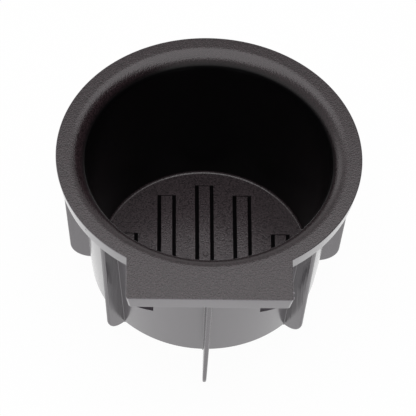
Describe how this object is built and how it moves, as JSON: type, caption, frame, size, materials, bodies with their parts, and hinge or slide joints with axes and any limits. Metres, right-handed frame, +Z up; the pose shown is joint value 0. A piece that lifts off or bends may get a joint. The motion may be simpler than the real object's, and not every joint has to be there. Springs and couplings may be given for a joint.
{
  "type": "car cup holder insert",
  "caption": "Round drop-in cup holder for a car console: flanged cup with a rolled mouth, a square tongue, thin outer fins and raised floor bars.",
  "frame": {"origin": "on the cup's axis at the underside of the base", "axes": "+Z up along the cup's axis, the square tongue points to -Y, +X to the right seen from the tongue"},
  "size_m": [0.0958, 0.1039, 0.054],
  "materials": {
    "black_plastic": "black moulded plastic, fine grain on the flange and the floor, smoother and slightly glossy on the walls and fins"
  },
  "bodies": {
    "root": {"holder": "black_plastic"}
  },
  "joints": []
}
